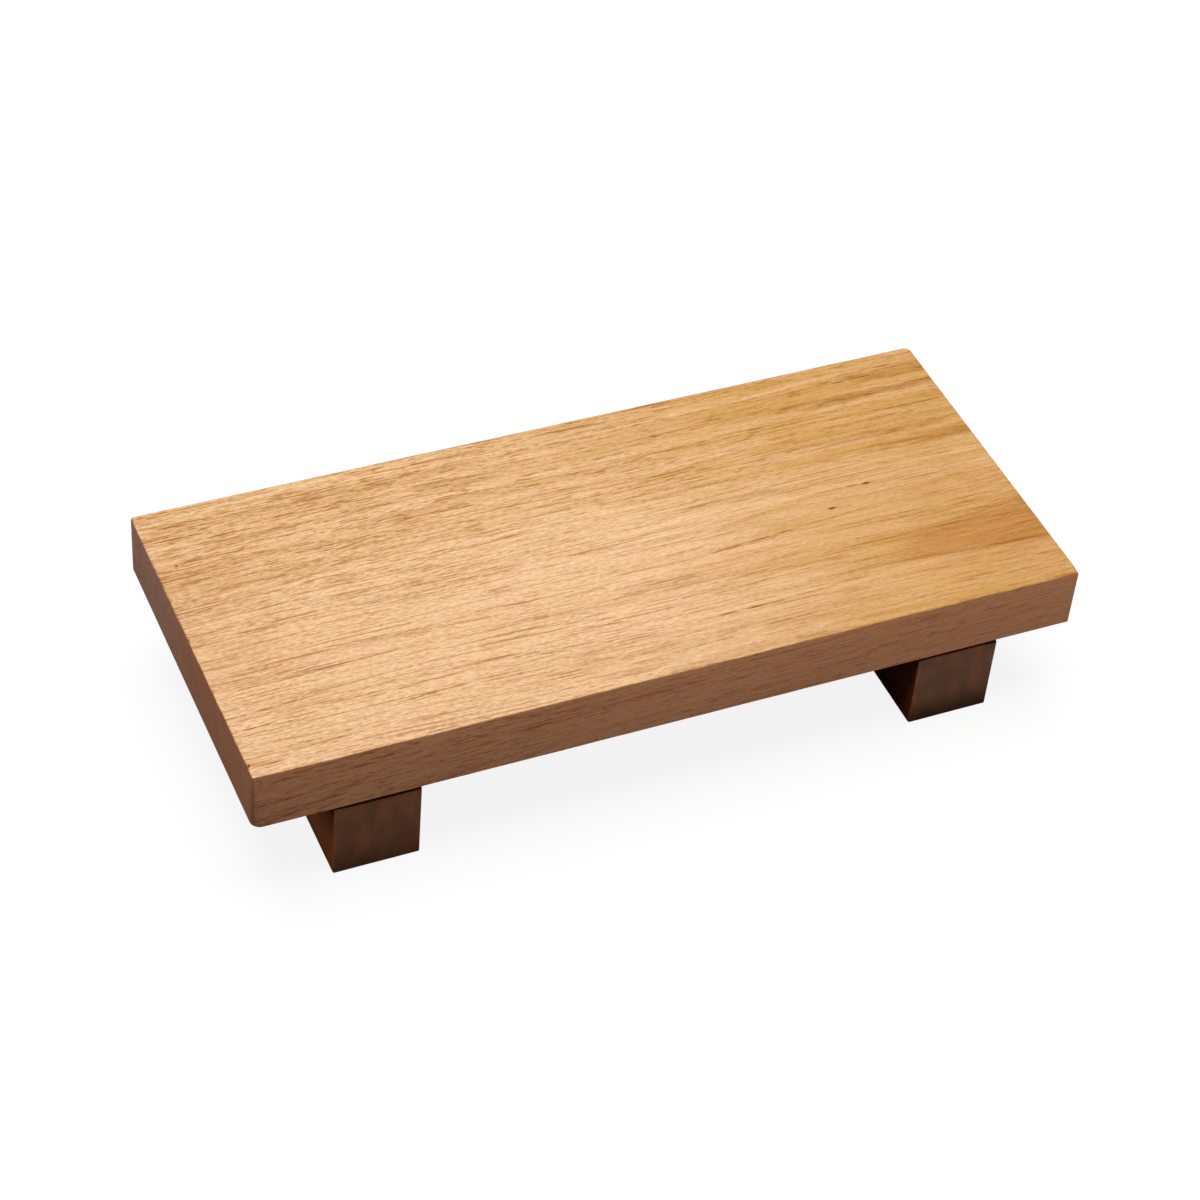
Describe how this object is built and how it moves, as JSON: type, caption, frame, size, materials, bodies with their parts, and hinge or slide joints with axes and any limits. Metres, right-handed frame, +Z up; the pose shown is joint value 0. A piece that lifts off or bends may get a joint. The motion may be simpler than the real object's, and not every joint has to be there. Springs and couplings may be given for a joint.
{
  "type": "wooden pedestal tray",
  "caption": "Rectangular wooden serving tray: a solid plank raised on square runners that are screwed on from below, to serve food or show small things.",
  "frame": {"origin": "on the table, below the middle of the plank", "axes": "+X along the plank, -Y towards the front in the picture, +Z up"},
  "size_m": [0.27, 0.118, 0.0495],
  "materials": {
    "board_wood": "oiled satin, light golden hardwood with open pores, grain along the length",
    "leg_wood": "oiled satin, a browner stick of the same hardwood, grain along the runner",
    "screw_steel": "zinc plated, bright"
  },
  "bodies": {
    "root": {"top_board": "board_wood", "left_leg": "leg_wood", "right_leg": "leg_wood", "left_front_screw": "screw_steel", "left_back_screw": "screw_steel", "right_front_screw": "screw_steel", "right_back_screw": "screw_steel"}
  },
  "joints": []
}
